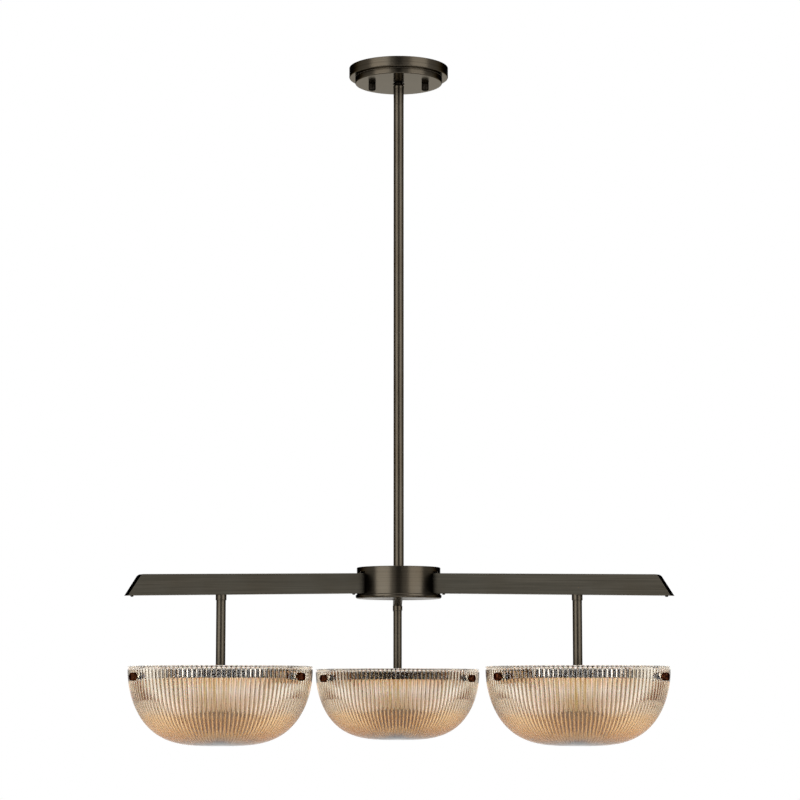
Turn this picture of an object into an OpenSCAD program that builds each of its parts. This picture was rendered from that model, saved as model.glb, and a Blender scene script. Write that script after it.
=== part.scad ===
// Three-light chandelier: a ceiling canopy with a hang-straight swivel, a two-piece rod, a drum hub,
// three slightly drooping box arms and three ribbed glass bowls on short stems.
// Origin: centre of the canopy where it meets the ceiling. +Z up. The back arm points along +Y.

/* [Canopy] */
// Diameter of the canopy's upper disc
canopy_d = 130.2; // [110:0.1:150]
// Height of the canopy's upper disc
canopy_h = 12.9; // [12:0.1:18]
// Diameter of the canopy's lower step
step_d = 114.5; // [98:0.1:126]
// Height of the canopy's lower step
step_h = 7.7; // [6:0.1:10]
// Sheet thickness of the canopy
canopy_t = 1.2; // [0.8:0.1:2]
// Diameter of the hole that the swivel neck swings in
canopy_hole_d = 16; // [15:0.1:20]

/* [Ceiling bracket] */
// Thickness of the cross-shaped mounting plate
plate_t = 2.4; // [2:0.1:3]
// Width of the mounting plate's bars
plate_w = 20; // [14:0.5:24]
// Distance between the outlet box screws
box_spacing = 88.9; // [70:0.1:92]
// Width of the slots for the box screws
slot_w = 5; // [4:0.1:6]
// End-to-end length of the slots for the box screws
slot_l = 13; // [8:0.5:16]
// Distance between the canopy studs
stud_spacing = 69.85; // [64:0.05:80]
// Diameter of the canopy studs
stud_d = 4; // [3:0.1:5]
// Diameter of the canopy nuts
nut_d = 9.5; // [8:0.1:12]
// Height of the canopy nuts below the canopy
nut_h = 8.4; // [6:0.1:12]

/* [Swivel] */
// Diameter of the hang-straight ball
ball_d = 17; // [16:0.1:18]
// Depth of the ball's centre below the ceiling
ball_drop = 10; // [9.5:0.1:10.5]
// Diameter of the threaded neck and of the rod nipples
thread_d = 9.2; // [8:0.1:9.3]
// Bore for the wires in the neck and the nipples
wire_bore_d = 6; // [4:0.1:7]
// Outside diameter of the ring that the ball rests in
seat_d = 34; // [28:0.5:44]

/* [Rods] */
// Outside diameter of the rods
rod_d = 13.2; // [12:0.1:16]
// Length of each rod
rod_l = 304.8; // [150:0.1:460]
// Bore of the rods
rod_bore_d = 9.5; // [9.4:0.1:10.5]
// Widest diameter of the bell coupling over the rods
coupling_d = 14.2; // [13:0.1:15]
// Length of the bell coupling
coupling_l = 26; // [18:0.1:40]
// Gap between the canopy and the bell coupling
coupling_gap = 1.5; // [1.5:0.1:4]
// Length of the nipples inside each rod end
nipple_grip = 12; // [8:0.5:20]

/* [Hub] */
// Diameter of the hub drum
drum_d = 107.4; // [90:0.1:140]
// Height of the hub drum
drum_h = 34.9; // [34.6:0.1:44]
// Wall of the hub drum
drum_t = 1.5; // [1:0.1:2.5]
// Diameter of the hub's bottom plate
hub_plate_d = 110.4; // [94:0.1:144]
// Thickness of the hub's bottom plate
hub_plate_t = 4.8; // [3:0.1:6]
// Height of the grooved core that the arms are screwed to
core_h = 16; // [14:0.5:18]

/* [Arms] */
// Width of an arm
arm_w = 12; // [11:0.1:16]
// Height of an arm
arm_h = 25.6; // [24:0.1:26]
// Sheet thickness of an arm
arm_t = 1.2; // [0.8:0.1:1.6]
// Reach of an arm's lower edge from the hub axis
arm_reach = 381; // [340:0.1:480]
// How far the arm's upper corner is set back from its lower corner
arm_set_back = 18.2; // [0:0.1:30]
// Distance from the hub axis to an arm's inner end
arm_start = 17; // [15:0.5:24]
// Depth of the arm line below the hub's top
arm_drop = 7; // [6.5:0.1:7.4]
// Downward slope of an arm in degrees
arm_droop = 1.62; // [0:0.01:1.8]
// Thickness of the strip that closes an arm from below
cover_t = 2; // [1.5:0.1:3]

/* [Stems] */
// Distance from the hub axis to a stem
light_r = 253.2; // [220:0.1:300]
// Diameter of a stem
stem_d = 11.7; // [10.5:0.1:13]
// Bore of a stem
stem_bore_d = 7; // [6:0.1:8]
// Diameter of the collar under the arm
collar_d = 13.3; // [13:0.1:18]
// Height of the collar under the arm
collar_h = 6.8; // [4:0.1:15]
// Distance from an arm's underside to the rim of its glass bowl
rim_drop = 87.4; // [60:0.1:200]

/* [Glass] */
// Diameter of a bowl over its ribs
bowl_d = 226.5; // [215:0.1:250]
// Height of a bowl
bowl_h = 97; // [80:0.1:130]
// Height of the straight wall under the rim
bowl_straight = 5; // [2:0.5:12]
// Roundness exponent of the bowl across
bowl_across = 3.4; // [2.4:0.1:4]
// Roundness exponent of the bowl down
bowl_down = 1.9; // [1.6:0.1:2.4]
// Number of ribs round a bowl, kept at a multiple of 24 so that the rim closes
ribs = 120; // [96:24:120]
// Height of a rib
rib_depth = 2.2; // [0.6:0.1:3]
// Thickness of the glass under the ribs
glass_t = 3; // [2.5:0.1:5]

/* [Holder and lamp] */
// Depth of the holder's top below the rim
holder_drop = 0.7; // [0.5:0.1:6]
// Thickness of the three-armed holder
holder_t = 2; // [1.5:0.1:3]
// Width of the holder's arms
holder_w = 12; // [10:0.5:16]
// Diameter of the lamp pan
pan_d = 152; // [120:1:165]
// Height of the lamp pan
pan_h = 12; // [8:0.5:20]
// Sheet thickness of the lamp pan
pan_t = 1.5; // [1:0.1:2]
// Depth of the diffuser below the pan
diffuser_h = 43; // [30:0.5:50]
// Wall of the diffuser
diffuser_t = 2; // [1.5:0.1:3]
// Diameter of the lamp board
board_d = 108; // [80:1:114]
// Thickness of the lamp board
board_t = 1.6; // [1:0.1:2]

/* [Thumbscrews] */
// Diameter of a thumbscrew's head
head_d = 9.8; // [8:0.1:14]
// Length of a thumbscrew's head
head_l = 7.3; // [5:0.1:12]
// Diameter of a thumbscrew's shank
shank_d = 5; // [4:0.1:6]
// Depth of the thumbscrews below the rim
screw_drop = 13.2; // [13:0.1:20]

/* [Fits] */
// Gap between parts that move past each other
gap = 0.3; // [0.2:0.05:0.5]
// Gap round a part that is slipped over or into another
slip = 0.1; // [0.05:0.01:0.2]
// Radial running clearance of a thumbscrew in the holder
running = 0.06; // [0.02:0.01:0.1]

/* [Hidden] */
$fn = 72;
bronze = "#4a453d";
dark_bronze = "#38322b";
brown_bronze = "#4b2b1c";
zinc = "#9b9c9e";
glass_tint = "#e3c19a";
opal = "#f2ead8";

// Directions of the three arms and, on every bowl, of the three thumbscrews
left = 210;
right = 330;
back = 90;
arm_dirs = [left, right, back];
screw_dirs = [330, 90, 210];

// Heights of the hanging chain, from the ceiling down
canopy_bottom = -(canopy_h + step_h);
canopy_floor = canopy_bottom + canopy_t;
coupling_top = canopy_bottom - coupling_gap;
rod_top = coupling_top - coupling_l;
rod_joint = rod_top - rod_l;
drum_top = rod_joint - rod_l;
drum_bottom = drum_top - drum_h;
core_top = drum_top - drum_t;
core_bottom = core_top - core_h;
arm_line = drum_top - arm_drop;
arm_under = arm_line - light_r * tan(arm_droop) - arm_h / cos(arm_droop);
rim_z = arm_under - rim_drop;
holder_top = rim_z - holder_drop;
pan_top = holder_top - holder_t;
pan_under = pan_top - pan_t;
pan_bottom = pan_top - pan_h;
screw_z = rim_z - screw_drop;

// Mounting plate: the ring round the swivel and the two holes for a ground screw
plate_ring_d = ball_d + 2 * plate_w;
plate_hole_d = ball_d + 8;
ground_hole_d = 4;
ground_hole_r = plate_ring_d / 2 - 7;
ground_head_d = 8;
ground_head_t = 3;

// Hub: the boss under the drum that takes the nipple, and the locknut under the core
boss_d = 16;
boss_h = 9;
locknut_d = 16.2;
locknut_t = 5;

// Bent ends of the holder, which follow the inside of the glass
tab_t = 3;
tab_below_screw = 6;

// Arm end: how much the sloping end wall takes along the arm
end_wall = arm_t / sin(atan2(arm_h, arm_set_back));
arm_inner_w = arm_w - 2 * arm_t;
lug_l = 10;
lug_t = 3;
cover_screw_d = 2.4;
cover_head_r = 1.9;
cover_head_t = 1.5;
tip_inset = 7.5;
cover_screw_x = [drum_d / 2 + lug_l + 3, arm_reach - tip_inset];
arm_screw_d = 4;
arm_screw_x = [arm_start + 2 * arm_screw_d, arm_start + 6 * arm_screw_d];
arm_screw_grip = 4;

// Threads and the plain pieces that sit on them
nipple_small_d = stem_bore_d - 2 * slip;
channel_nut_l = 16;
channel_nut_t = 5;
channel_nut_rise = 2;
bolt_head_d = 15;
bolt_head_t = 4;
board_hole_d = bolt_head_d + 9;
chip = 3;
chips = 12;

// Point of a rounded bowl section, a running from 0 at the wall to 90 at the bottom
function bowl_r_at(a, r, across) = r * pow(cos(a), 2 / across);
function bowl_d_at(a, h, down) = h * pow(sin(a), 2 / down);

// Ribbed bowl: crests and valleys of the ribs follow two nested rounded sections down to the middle
ring_angles = [0, 16, 31, 45, 58, 70, 80];
rib_points = 2 * ribs;
inner_points = ribs * 2 / 5;
rings = len(ring_angles) + 1;
bowl_r = bowl_d / 2;

function ring_angle(i) = i == 0 ? 0 : ring_angles[i - 1];
function ring_straight(i) = i == 0 ? 0 : bowl_straight;
function valley_depth(i) = rib_depth * sqrt(cos(ring_angle(i)));
function ring_point(i, turn, inset) = let (a = ring_angle(i))
    let (r = bowl_r_at(a, bowl_r - inset, bowl_across))
    let (d = ring_straight(i) + bowl_d_at(a, bowl_h - bowl_straight - inset, bowl_down))
    [r * cos(turn), r * sin(turn), -d];

// Radius of the glass at a depth near the thumbscrews, where its wall runs straight between two rings
function wall_r(depth, inset) = let (high = ring_point(1, 0, inset))
    let (low = ring_point(2, 0, inset))
    high[0] + (low[0] - high[0]) * (high[2] + depth) / (high[2] - low[2]);
inner_flat = cos(180 / inner_points);
tab_wall_r = wall_r(screw_drop + tab_below_screw, rib_depth + glass_t) * inner_flat;
tab_outer_r = sqrt(pow(tab_wall_r, 2) - pow(holder_w / 2, 2)) - gap;

// Reach of the arm's sloping end at a height above its lower edge
function end_x(rise) = arm_reach - arm_set_back * rise / arm_h;

module at_arm(dir) {
    rotate([0, 0, dir]) children();
}

// The drooping frame of an arm: x along the arm, z = 0 on its top face
module on_arm_line(dir) {
    at_arm(dir) translate([0, 0, arm_line]) rotate([0, arm_droop, 0]) children();
}

module side_profile(points, width) {
    rotate([90, 0, 0]) linear_extrude(height = width, center = true) polygon(points);
}

module at_light(dir) {
    translate([light_r * cos(dir), light_r * sin(dir), 0]) children();
}

// Everything above an arm's lower face, used to trim what seats against it
module above_arm(dir) {
    span = 4 * arm_h;
    on_arm_line(dir) translate([light_r - span / 2, -span / 2, -arm_h]) cube(span);
}

module vertical(d, low, high) {
    translate([0, 0, low]) cylinder(d = d, h = high - low);
}

module tube(d, bore, low, high) {
    difference() {
        vertical(d, low, high);
        vertical(bore, low - 1, high + 1);
    }
}

module slot_2d(length, width) {
    square([width, length - width], center = true);
    for (side = [-1, 1]) translate([0, side * (length - width) / 2]) circle(d = width);
}

// Cross-shaped plate: one bar is slotted for the outlet box, the other carries the canopy studs
module mounting_plate() {
    stud_bar = stud_spacing + 3.5 * stud_d;
    color(zinc) difference() {
        translate([0, 0, -plate_t]) linear_extrude(height = plate_t) difference() {
            union() {
                circle(d = plate_ring_d);
                square([stud_bar, plate_w], center = true);
                square([plate_w, box_spacing + slot_l + slot_w], center = true);
            }
            circle(d = plate_hole_d);
            for (side = [-1, 1]) translate([0, side * box_spacing / 2]) slot_2d(slot_l, slot_w);
            for (dir = [45, 225]) rotate(dir) translate([ground_hole_r, 0]) circle(d = ground_hole_d);
        }
        for (side = [-1, 1]) translate([side * stud_spacing / 2, 0, 0]) {
            translate([0, 0, -plate_t - 1]) cylinder(d = stud_d + 2 * slip, h = plate_t + 2);
            translate([0, 0, -stud_d / 2]) cylinder(d1 = stud_d + 2 * slip, d2 = 2 * stud_d + 2 * slip,
                h = stud_d / 2 + 0.01);
        }
    }
}

module ground_screw() {
    color("#2f7a43") rotate([0, 0, 45]) translate([ground_hole_r, 0, 0]) {
        translate([0, 0, -plate_t - ground_head_t]) cylinder(d = ground_head_d, h = ground_head_t, $fn = 6);
        translate([0, 0, -plate_t]) cylinder(d = ground_hole_d - 2 * slip, h = plate_t);
    }
}

module canopy_studs() {
    color(zinc) for (side = [-1, 1]) translate([side * stud_spacing / 2, 0, 0]) {
        translate([0, 0, canopy_bottom - nut_h + 3])
            cylinder(d = stud_d, h = nut_h - canopy_bottom - 3 - 0.2);
        translate([0, 0, -stud_d / 2]) cylinder(d1 = stud_d, d2 = 2 * stud_d - 0.4, h = stud_d / 2 - 0.2);
    }
}

// Spun two-step shell, open to the ceiling
module canopy() {
    r = canopy_d / 2;
    s = step_d / 2;
    t = canopy_t;
    edge = 1;
    color(bronze) difference() {
        rotate_extrude() polygon([
            [r - t, 0], [r, 0], [r, -canopy_h + edge], [r - edge / 3, -canopy_h + edge / 3],
            [r - edge, -canopy_h], [s, -canopy_h], [s, canopy_bottom + edge],
            [s - edge / 3, canopy_bottom + edge / 3], [s - edge, canopy_bottom],
            [canopy_hole_d / 2, canopy_bottom], [canopy_hole_d / 2, canopy_floor],
            [s - t, canopy_floor], [s - t, -canopy_h + t], [r - t, -canopy_h + t]]);
        for (side = [-1, 1]) translate([side * stud_spacing / 2, 0, 0])
            vertical(stud_d + 2 * gap, canopy_bottom - 1, canopy_floor + 1);
    }
}

// Two fluted finger nuts that hold the canopy up
module canopy_nuts() {
    flutes = 16;
    color(dark_bronze) for (side = [-1, 1])
        translate([side * stud_spacing / 2, 0, canopy_bottom - nut_h]) difference() {
            rotate_extrude() polygon([[0, 0], [nut_d / 2 - 1, 0], [nut_d / 2, 1], [nut_d / 2, nut_h - 0.6],
                [nut_d / 2 - 0.6, nut_h], [0, nut_h]]);
            translate([0, 0, 2.8]) cylinder(d = stud_d + 2 * slip, h = nut_h);
            for (i = [0 : flutes - 1]) rotate([0, 0, i * 360 / flutes])
                translate([nut_d / 2 + 0.25, 0, 1.4]) cylinder(d = 1, h = nut_h - 2.6);
        }
}

// Ring that turns on the canopy floor and cups the ball
module swivel_seat() {
    top = -ball_drop;
    bottom = canopy_floor + gap;
    cup_d = ball_d + 2 * gap;
    mouth_r = cup_d / 2 * 0.8;
    color("#8f8a80") difference() {
        vertical(seat_d, bottom, top);
        translate([0, 0, -ball_drop]) sphere(d = cup_d);
        translate([0, 0, bottom - 1]) cylinder(r = mouth_r, h = top - bottom);
    }
}

// Hang-straight ball with its hollow threaded neck, which runs through the coupling into the rod
module swivel_ball() {
    flat = ball_d * 0.32;
    color(zinc) difference() {
        union() {
            intersection() {
                translate([0, 0, -ball_drop]) sphere(d = ball_d);
                vertical(ball_d + 2, -ball_drop - ball_d, -ball_drop + flat);
            }
            vertical(thread_d, rod_top - nipple_grip, -ball_drop);
        }
        vertical(wire_bore_d, rod_top - nipple_grip - 1, 0);
    }
}

module bell_coupling() {
    r = coupling_d / 2;
    bore = thread_d / 2 + slip;
    foot = rod_d / 2;
    color(bronze) rotate_extrude() polygon([
        [bore, rod_top], [foot, rod_top], [foot, rod_top + 1], [r - 0.3, coupling_top - 5],
        [r, coupling_top - 2.2], [r - 0.35, coupling_top - 1.1], [r - 1.2, coupling_top - 0.3],
        [r - 2, coupling_top], [bore, coupling_top]]);
}

module upper_rod() {
    color(bronze) tube(rod_d, rod_bore_d, rod_joint, rod_top);
}

module rod_nipple() {
    color(zinc) tube(thread_d, wire_bore_d, rod_joint - nipple_grip, rod_joint + nipple_grip);
}

module lower_rod() {
    color(bronze) tube(rod_d, rod_bore_d, drum_top, rod_joint);
}

module hub_nipple() {
    color(zinc) tube(thread_d, wire_bore_d, drum_bottom + 1, drum_top + nipple_grip);
}

module hub_locknut() {
    color(zinc) translate([0, 0, core_bottom - locknut_t]) difference() {
        cylinder(d = locknut_d, h = locknut_t, $fn = 6);
        translate([0, 0, -1]) cylinder(d = thread_d + 2 * slip, h = locknut_t + 2);
    }
}

// Opening in the drum wall that an arm passes through
module arm_slot(dir) {
    slot_gap = 0.4;
    head_room = 2.5;
    at_arm(dir) translate([drum_d / 4, -arm_w / 2 - slot_gap, drum_bottom - 1])
        cube([drum_d / 2, arm_w + 2 * slot_gap, arm_line - drum_d / 2 * tan(arm_droop) + head_room
            - drum_bottom + 1]);
}

// Drawn cup, open below, slotted for the three arms
module hub_drum() {
    r = drum_d / 2;
    t = drum_t;
    edge = 0.6;
    color(bronze) difference() {
        rotate_extrude() polygon([
            [thread_d / 2 + slip, drum_top], [r - edge, drum_top], [r - edge / 3, drum_top - edge / 3],
            [r, drum_top - edge], [r, drum_bottom], [r - t, drum_bottom], [r - t, core_top],
            [thread_d / 2 + slip, core_top]]);
        for (dir = arm_dirs) arm_slot(dir);
    }
}

// Milled core: each arm nests in a groove in its underside
module hub_core() {
    core_d = drum_d - 2 * drum_t - 4;
    color("#77736b") difference() {
        vertical(core_d, core_bottom, core_top);
        vertical(thread_d + 2 * slip, core_bottom - 1, core_top + 1);
        for (dir = arm_dirs) on_arm_line(dir) {
            translate([arm_start - slip, -arm_w / 2 - slip, -arm_h])
                cube([core_d, arm_w + 2 * slip, arm_h]);
            for (x = arm_screw_x) translate([x, 0, -1]) cylinder(d = arm_screw_d + 2 * slip,
                h = arm_screw_grip + 2);
        }
    }
}

// Bottom cap with a rolled rim and a threaded boss for the nipple
module hub_plate() {
    r = hub_plate_d / 2;
    low = drum_bottom - hub_plate_t;
    edge = hub_plate_t / 4;
    color(bronze) difference() {
        rotate_extrude() polygon([
            [0, low], [r - 2 * edge, low], [r - 0.6 * edge, low + 0.5 * edge], [r, low + 1.6 * edge],
            [r, drum_bottom - 0.8 * edge], [r - 0.5 * edge, drum_bottom], [boss_d / 2, drum_bottom],
            [boss_d / 2, drum_bottom + boss_h], [0, drum_bottom + boss_h]]);
        vertical(thread_d + 2 * slip, drum_bottom, drum_bottom + boss_h + 1);
    }
}

// Two screws per arm, driven up from inside the channel into the core
module arm_screws() {
    color(zinc) for (dir = arm_dirs) on_arm_line(dir) for (x = arm_screw_x) translate([x, 0, 0]) {
        translate([0, 0, -arm_t - 2.5]) cylinder(d = 7, h = 2.5);
        translate([0, 0, -arm_t]) cylinder(d = arm_screw_d, h = arm_t + arm_screw_grip);
    }
}

// Screws that hold the cover strips, with their low heads below the arm
module cover_screws() {
    color(dark_bronze) for (dir = arm_dirs) on_arm_line(dir) for (x = cover_screw_x)
        translate([x, 0, -arm_h]) {
            rotate_extrude() polygon([[0, -cover_head_t], [cover_head_r - 0.6, -cover_head_t],
                [cover_head_r, 0.6 - cover_head_t], [cover_head_r, 0], [0, 0]]);
            cylinder(d = cover_screw_d, h = cover_t + lug_t);
        }
}

// Folded channel, open below, with a closed sloping end and lugs for the cover screws
module arm(dir) {
    corner = 2;
    lower = [arm_start, -arm_h];
    color(bronze) difference() {
        on_arm_line(dir) difference() {
            union() {
                difference() {
                    side_profile([lower, [end_x(0), -arm_h], [end_x(arm_h - corner), -corner],
                        [end_x(arm_h) - 0.35 * corner, -0.3 * corner], [end_x(arm_h) - corner, 0],
                        [arm_start, 0]], arm_w);
                    side_profile([[arm_start - 1, -arm_h - 1], [end_x(-1) - end_wall, -arm_h - 1],
                        [end_x(arm_h - arm_t) - end_wall, -arm_t], [arm_start - 1, -arm_t]], arm_inner_w);
                }
                for (x = cover_screw_x) translate([x - lug_l / 2, -arm_w / 2 + arm_t / 2,
                    -arm_h + cover_t + slip]) cube([lug_l, arm_w - arm_t, lug_t]);
            }
            for (x = cover_screw_x) translate([x, 0, -arm_h - 1]) cylinder(d = cover_screw_d + 2 * slip,
                h = cover_t + lug_t + 2);
            for (x = arm_screw_x) translate([x, 0, -arm_t - 1]) cylinder(d = arm_screw_d + 2 * slip,
                h = arm_t + 2);
        }
        sloping_end_trim(dir);
    }
}

// Keeps the lug nearest the tip inside the sloping end
module sloping_end_trim(dir) {
    past = arm_reach + 2 * arm_h;
    on_arm_line(dir) side_profile([[end_x(-5), -arm_h - 5], [end_x(arm_h + 5), 5], [past, 5],
        [past, -arm_h - 5]], arm_w + 2);
}

// Flush strip that closes the channel and carries the stem
module arm_cover(dir) {
    start = drum_d / 2 + 2;
    color(dark_bronze) difference() {
        on_arm_line(dir) difference() {
            side_profile([[start, -arm_h], [end_x(0) - end_wall - slip, -arm_h],
                [end_x(cover_t) - end_wall - slip, -arm_h + cover_t], [start, -arm_h + cover_t]],
                arm_inner_w - 2 * slip);
            for (x = cover_screw_x) translate([x, 0, -arm_h - 1]) cylinder(d = cover_screw_d + 2 * slip,
                h = cover_t + 2);
        }
        at_light(dir) vertical(nipple_small_d + 2 * slip, arm_under - 5, arm_under + 10);
    }
}

// Rectangular nut on the inside of the cover
module channel_nuts() {
    color(zinc) for (dir = arm_dirs) difference() {
        on_arm_line(dir) translate([light_r, 0, -arm_h + cover_t + channel_nut_t / 2])
            cube([channel_nut_l, arm_inner_w - 2 * slip, channel_nut_t], center = true);
        at_light(dir) vertical(nipple_small_d + 2 * slip, arm_under - channel_nut_t, arm_under + arm_h);
    }
}

module stem_nipples() {
    color(zinc) for (dir = arm_dirs) at_light(dir) tube(nipple_small_d, nipple_small_d / 2,
        arm_under - 2 * collar_h, arm_under + cover_t + channel_nut_t + channel_nut_rise);
}

module collar(dir) {
    color(bronze) difference() {
        at_light(dir) difference() {
            rotate_extrude() polygon([
                [stem_d / 2 + slip, arm_under - collar_h], [collar_d / 2 - 0.4, arm_under - collar_h],
                [collar_d / 2, arm_under - collar_h + 0.4], [collar_d / 2, arm_under + 2],
                [stem_d / 2 + slip, arm_under + 2]]);
        }
        above_arm(dir);
    }
}

module stem(dir) {
    color(bronze) difference() {
        at_light(dir) tube(stem_d, stem_bore_d, holder_top, arm_under + 2);
        above_arm(dir);
    }
}

// Three-armed holder over the lamp pan; its bent ends are tapped for the thumbscrews
module holder(dir) {
    color(dark_bronze) at_light(dir) difference() {
        union() {
            translate([0, 0, pan_top]) linear_extrude(height = holder_t) {
                circle(d = 4 * stem_d);
                for (side = screw_dirs) rotate(side) translate([0, -holder_w / 2])
                    square([tab_outer_r, holder_w]);
            }
            for (side = screw_dirs) rotate([0, 0, side])
                translate([tab_outer_r - tab_t, -holder_w / 2, screw_z - tab_below_screw])
                    cube([tab_t, holder_w, holder_top - screw_z + tab_below_screw]);
        }
        vertical(nipple_small_d + 2 * slip, pan_top - 1, holder_top + 1);
        for (side = screw_dirs)
            screw_hole(side, shank_d + 2 * running, tab_outer_r - tab_t - 2, tab_outer_r + 1);
    }
}

// Radial hole at the height of the thumbscrews
module screw_hole(side, d, from, to) {
    rotate([0, 0, side]) translate([from, 0, screw_z]) rotate([0, 90, 0]) cylinder(d = d, h = to - from);
}

// Spun pan that closes the lamp from above
module lamp_pan(dir) {
    r = pan_d / 2;
    edge = 2.5;
    color(dark_bronze) at_light(dir) rotate_extrude() polygon([
        [nipple_small_d / 2 + slip, pan_under], [nipple_small_d / 2 + slip, pan_top], [r - edge, pan_top],
        [r - edge / 4, pan_top - edge / 3], [r, pan_top - edge], [r, pan_bottom], [r - pan_t, pan_bottom],
        [r - pan_t, pan_under - edge], [r - edge - pan_t / 2, pan_under]]);
}

// Hollow bolts from inside the pans up into the stems
module holder_bolts() {
    color(zinc) for (dir = arm_dirs) at_light(dir) difference() {
        union() {
            translate([0, 0, pan_under - bolt_head_t]) cylinder(d = bolt_head_d, h = bolt_head_t, $fn = 6);
            vertical(nipple_small_d, pan_under, holder_top + nipple_grip);
        }
        vertical(nipple_small_d / 2, pan_under - bolt_head_t - 1, holder_top + nipple_grip + 1);
    }
}

// Round board with a ring of light-emitting chips facing down
module lamp_board(dir) {
    color("#e9e9e4") at_light(dir) {
        tube(board_d, board_hole_d, pan_under - board_t, pan_under);
        for (i = [0 : chips - 1]) rotate([0, 0, i * 360 / chips])
            translate([board_d * 0.32, -chip / 2, pan_under - board_t - 0.8]) cube([chip, chip, 0.8]);
    }
}

// Opal dish clipped inside the pan's skirt
module diffuser(dir) {
    r = pan_d / 2 - pan_t - gap;
    lip = pan_under - 6;
    knee = pan_bottom - 1;
    h = diffuser_h;
    outer_r = r - 1.5;
    steps = [0 : 10 : 80];
    color(opal) at_light(dir) rotate_extrude() polygon(concat(
        [[outer_r - diffuser_t, lip], [r, lip], [r, lip - 2], [outer_r, lip - 2]],
        [for (a = steps) [bowl_r_at(a, outer_r, 2.8), knee - bowl_d_at(a, h, 2.4)]],
        [[0, knee - h], [0, knee - h + diffuser_t]],
        [for (i = [8 : -1 : 0]) [bowl_r_at(i * 10, outer_r - diffuser_t, 2.8),
            knee - bowl_d_at(i * 10, h - diffuser_t, 2.4)]]));
}

outer_ring_points = [for (i = [0 : rings - 1]) for (k = [0 : rib_points - 1])
    ring_point(i, k * 180 / ribs, k % 2 == 0 ? 0 : valley_depth(i))];
inner_ring_points = [for (i = [0 : rings - 1]) for (k = [0 : inner_points - 1])
    ring_point(i, k * 360 / inner_points, rib_depth + glass_t)];
inner_first = len(outer_ring_points);
outer_middle = inner_first + len(inner_ring_points);
inner_middle = outer_middle + 1;
bowl_points = concat(outer_ring_points, inner_ring_points,
    [[0, 0, -bowl_h], [0, 0, -bowl_h + rib_depth + glass_t]]);

function outer_at(i, k) = i * rib_points + k % rib_points;
function inner_at(i, k) = inner_first + i * inner_points + k % inner_points;
rim_step = rib_points / inner_points;
last = rings - 1;
bowl_faces = concat(
    [for (i = [0 : last - 1]) for (k = [0 : rib_points - 1])
        [outer_at(i, k), outer_at(i, k + 1), outer_at(i + 1, k + 1)]],
    [for (i = [0 : last - 1]) for (k = [0 : rib_points - 1])
        [outer_at(i, k), outer_at(i + 1, k + 1), outer_at(i + 1, k)]],
    [for (k = [0 : rib_points - 1]) [outer_middle, outer_at(last, k), outer_at(last, k + 1)]],
    [for (i = [0 : last - 1]) for (k = [0 : inner_points - 1])
        [inner_at(i, k), inner_at(i + 1, k + 1), inner_at(i, k + 1)]],
    [for (i = [0 : last - 1]) for (k = [0 : inner_points - 1])
        [inner_at(i, k), inner_at(i + 1, k), inner_at(i + 1, k + 1)]],
    [for (k = [0 : inner_points - 1]) [inner_middle, inner_at(last, k + 1), inner_at(last, k)]],
    [for (j = [0 : inner_points - 1]) for (k = [0 : rim_step - 1])
        [inner_at(0, j), outer_at(0, j * rim_step + k + 1), outer_at(0, j * rim_step + k)]],
    [for (j = [0 : inner_points - 1])
        [inner_at(0, j), inner_at(0, j + 1), outer_at(0, (j + 1) * rim_step)]]);

module glass_bowl(dir) {
    color(glass_tint, 0.5) at_light(dir) difference() {
        translate([0, 0, rim_z]) polyhedron(points = bowl_points, faces = bowl_faces, convexity = 8);
        for (side = screw_dirs) screw_hole(side, shank_d + 1, tab_outer_r - 4, bowl_r + 2);
    }
}

// Round-edged thumbscrew: the head stays outside the glass, the shank reaches through it into the holder
module thumbscrew(dir, side) {
    edge = 1.2;
    head_face = wall_r(screw_drop - head_d / 2, 0) + gap;
    tip = tab_outer_r - tab_t - 2.5;
    color(brown_bronze) at_light(dir) rotate([0, 0, side]) translate([0, 0, screw_z]) rotate([0, 90, 0])
        rotate_extrude() polygon([
            [0, tip], [shank_d / 2 - 0.5, tip], [shank_d / 2, tip + 0.5], [shank_d / 2, head_face],
            [head_d / 2 - 0.4, head_face], [head_d / 2, head_face + 0.4],
            [head_d / 2, head_face + head_l - edge], [head_d / 2 - edge / 3, head_face + head_l - edge / 3],
            [head_d / 2 - edge, head_face + head_l], [0, head_face + head_l]]);
}

mounting_plate();
ground_screw();
canopy_studs();
canopy();
canopy_nuts();
swivel_seat();
swivel_ball();
bell_coupling();
upper_rod();
rod_nipple();
lower_rod();
hub_nipple();
hub_locknut();
hub_drum();
hub_core();
hub_plate();
arm_screws();
cover_screws();
stem_nipples();
channel_nuts();
holder_bolts();
arm(left);  // arm_left
arm(right);  // arm_right
arm(back);  // arm_back
arm_cover(left);  // arm_cover_left
arm_cover(right);  // arm_cover_right
arm_cover(back);  // arm_cover_back
collar(left);  // collar_left
collar(right);  // collar_right
collar(back);  // collar_back
stem(left);  // stem_left
stem(right);  // stem_right
stem(back);  // stem_back
holder(left);  // holder_left
holder(right);  // holder_right
holder(back);  // holder_back
lamp_pan(left);  // lamp_pan_left
lamp_pan(right);  // lamp_pan_right
lamp_pan(back);  // lamp_pan_back
lamp_board(left);  // lamp_board_left
lamp_board(right);  // lamp_board_right
lamp_board(back);  // lamp_board_back
diffuser(left);  // diffuser_left
diffuser(right);  // diffuser_right
diffuser(back);  // diffuser_back
glass_bowl(left);  // glass_bowl_left
glass_bowl(right);  // glass_bowl_right
glass_bowl(back);  // glass_bowl_back
thumbscrew(left, screw_dirs[0]);  // thumbscrew_left_1
thumbscrew(left, screw_dirs[1]);  // thumbscrew_left_2
thumbscrew(left, screw_dirs[2]);  // thumbscrew_left_3
thumbscrew(right, screw_dirs[0]);  // thumbscrew_right_1
thumbscrew(right, screw_dirs[1]);  // thumbscrew_right_2
thumbscrew(right, screw_dirs[2]);  // thumbscrew_right_3
thumbscrew(back, screw_dirs[0]);  // thumbscrew_back_1
thumbscrew(back, screw_dirs[1]);  // thumbscrew_back_2
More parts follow.
